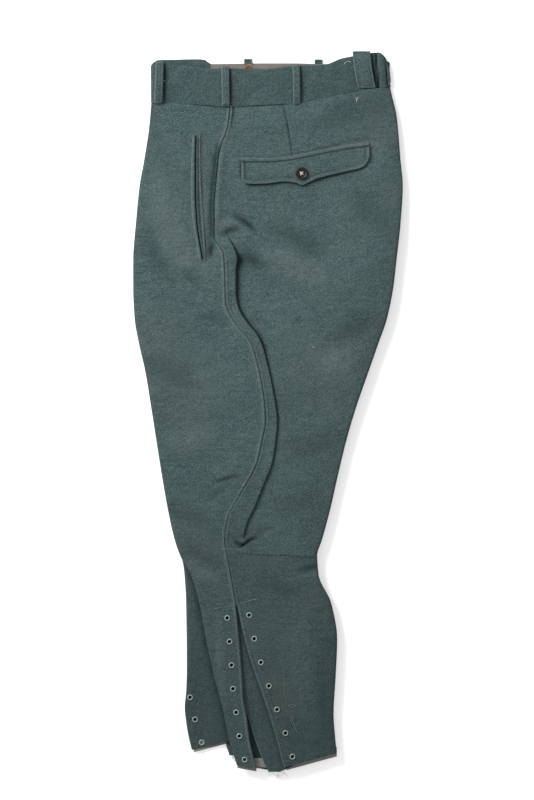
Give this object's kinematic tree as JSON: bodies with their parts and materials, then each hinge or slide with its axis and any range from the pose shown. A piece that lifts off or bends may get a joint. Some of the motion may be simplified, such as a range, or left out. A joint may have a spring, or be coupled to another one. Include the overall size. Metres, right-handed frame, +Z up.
{
  "type": "laced riding breeches",
  "caption": "Riding breeches of heavy felted wool with laced calves, buttoned hip pocket and belt loops, laid flat on their side.",
  "frame": {"origin": "centre of the footprint, on the surface that the garment lies on", "axes": "+Y towards the waist, along the garment's length; +X towards the seat; +Z up, through its layers"},
  "size_m": [0.3778, 1.011, 0.0188],
  "materials": {
    "wool": "heavy felted wool, grey-green, brushed nap",
    "lining": "plain cotton lining, grey-brown",
    "tape": "twilled hem tape, grey-brown",
    "horn": "dark brown button with a raised rim",
    "amber_button": "orange-brown button",
    "eyelet": "dull painted metal"
  },
  "bodies": {
    "root": {"left_front": "wool", "left_back": "wool", "left_calf": "wool", "left_tongue": "wool", "right_front": "wool", "right_back": "wool", "right_calf": "wool", "right_tongue": "wool", "waistband_left": "wool", "waistband_right": "wool", "waistband_lining": "lining", "belt_loop_front": "wool", "belt_loop_side": "wool", "belt_loop_hip": "wool", "belt_loop_back_wide": "wool", "belt_loop_far_side": "wool", "belt_loop_far_hip": "wool", "pocket_lip_front": "wool", "pocket_lip_back": "wool", "hip_welt": "wool", "hip_flap": "wool", "hip_button": "horn", "inner_button": "amber_button", "hem_tape_left_front": "tape", "hem_tape_left_calf": "tape", "hem_tape_left_inside": "tape", "hem_tape_right_front": "tape", "eyelet_left_front_1": "eyelet", "eyelet_left_front_2": "eyelet", "eyelet_left_front_3": "eyelet", "eyelet_left_front_4": "eyelet", "eyelet_left_front_5": "eyelet", "eyelet_left_front_6": "eyelet", "eyelet_left_front_7": "eyelet", "eyelet_left_rear_1": "eyelet", "eyelet_left_rear_2": "eyelet", "eyelet_left_rear_3": "eyelet", "eyelet_left_rear_4": "eyelet", "eyelet_left_rear_5": "eyelet", "eyelet_left_rear_6": "eyelet", "eyelet_left_rear_7": "eyelet", "eyelet_right_front_1": "eyelet", "eyelet_right_front_2": "eyelet", "eyelet_right_front_3": "eyelet"}
  },
  "joints": []
}
